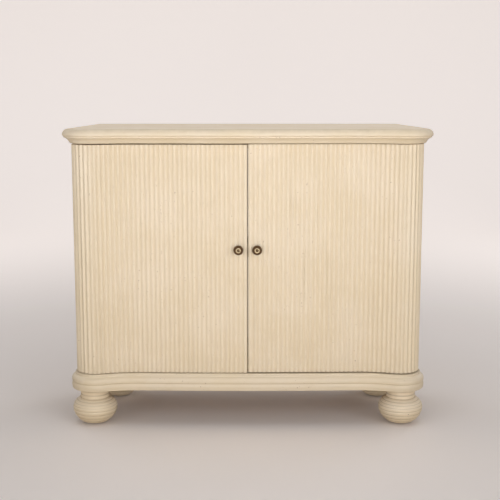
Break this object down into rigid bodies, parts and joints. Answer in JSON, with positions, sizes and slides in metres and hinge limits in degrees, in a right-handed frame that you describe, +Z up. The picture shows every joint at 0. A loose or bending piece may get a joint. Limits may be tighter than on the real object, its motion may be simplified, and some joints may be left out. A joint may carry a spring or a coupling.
{
  "type": "buffet",
  "caption": "Painted buffet cupboard with a serpentine reeded front, hinged doors with brass knobs, a moulded top and plinth, a shelf inside and turned bun feet.",
  "frame": {"origin": "on the floor, under the middle of the object's box", "axes": "+X to the right seen from the front, +Y from the front to the back, +Z up"},
  "size_m": [1.1558, 0.46, 0.945],
  "materials": {
    "cream_paint": "aged eggshell cream paint on wood",
    "bare_wood": "bare pine, lightly waxed",
    "knob_brass": "antique brass, dark in the recesses",
    "hinge_brass": "aged brass",
    "steel": "zinc plated steel",
    "catch_plastic": "brown moulded plastic"
  },
  "bodies": {
    "cabinet": {"top_board": "cream_paint", "bed_moulding_front": "cream_paint", "bed_moulding_left": "cream_paint", "bed_moulding_right": "cream_paint", "case_top": "bare_wood", "left_side_panel": "cream_paint", "right_side_panel": "cream_paint", "left_side_reeds": "cream_paint", "right_side_reeds": "cream_paint", "bottom_board": "bare_wood", "back_boards": "bare_wood", "back_rail": "bare_wood", "shelf": "bare_wood", "left_shelf_cleat": "bare_wood", "right_shelf_cleat": "bare_wood", "plinth_front": "cream_paint", "plinth_left": "cream_paint", "plinth_right": "cream_paint", "plinth_back": "bare_wood", "front_left_foot": "cream_paint", "front_right_foot": "cream_paint", "back_left_foot": "cream_paint", "back_right_foot": "cream_paint", "front_left_foot_block": "bare_wood", "front_right_foot_block": "bare_wood", "back_left_foot_block": "bare_wood", "back_right_foot_block": "bare_wood", "foot_bolts": "steel", "left_hinge_leaves": "hinge_brass", "right_hinge_leaves": "hinge_brass", "left_hinge_pins": "hinge_brass", "right_hinge_pins": "hinge_brass", "hinge_screws": "hinge_brass", "left_catch_case": "catch_plastic", "right_catch_case": "catch_plastic", "catch_poles": "steel", "catch_screws": "steel", "shelf_screws": "steel", "cleat_screws": "steel", "back_board_screws": "steel", "top_screws": "steel", "case_screws": "steel"},
    "left_door": {"left_door_panel": "cream_paint", "left_door_reeds": "cream_paint", "left_knob": "knob_brass", "left_knob_rose": "knob_brass", "left_knob_bolt": "steel", "left_door_hinge_leaves": "hinge_brass", "left_door_screws": "hinge_brass", "left_strike_plate": "steel"},
    "right_door": {"right_door_panel": "cream_paint", "right_door_reeds": "cream_paint", "right_knob": "knob_brass", "right_knob_rose": "knob_brass", "right_knob_bolt": "steel", "right_door_hinge_leaves": "hinge_brass", "right_door_screws": "hinge_brass", "right_strike_plate": "steel"}
  },
  "joints": [
    {"name": "left_door_hinge", "type": "hinge", "parent": "cabinet", "child": "left_door", "pos_m": [-0.54768, -0.117, 0.5365], "axis": [0, 0, -1], "range_deg": [0, 170]},
    {"name": "right_door_hinge", "type": "hinge", "parent": "cabinet", "child": "right_door", "pos_m": [0.54768, -0.117, 0.5365], "axis": [0, 0, 1], "range_deg": [0, 170]}
  ]
}
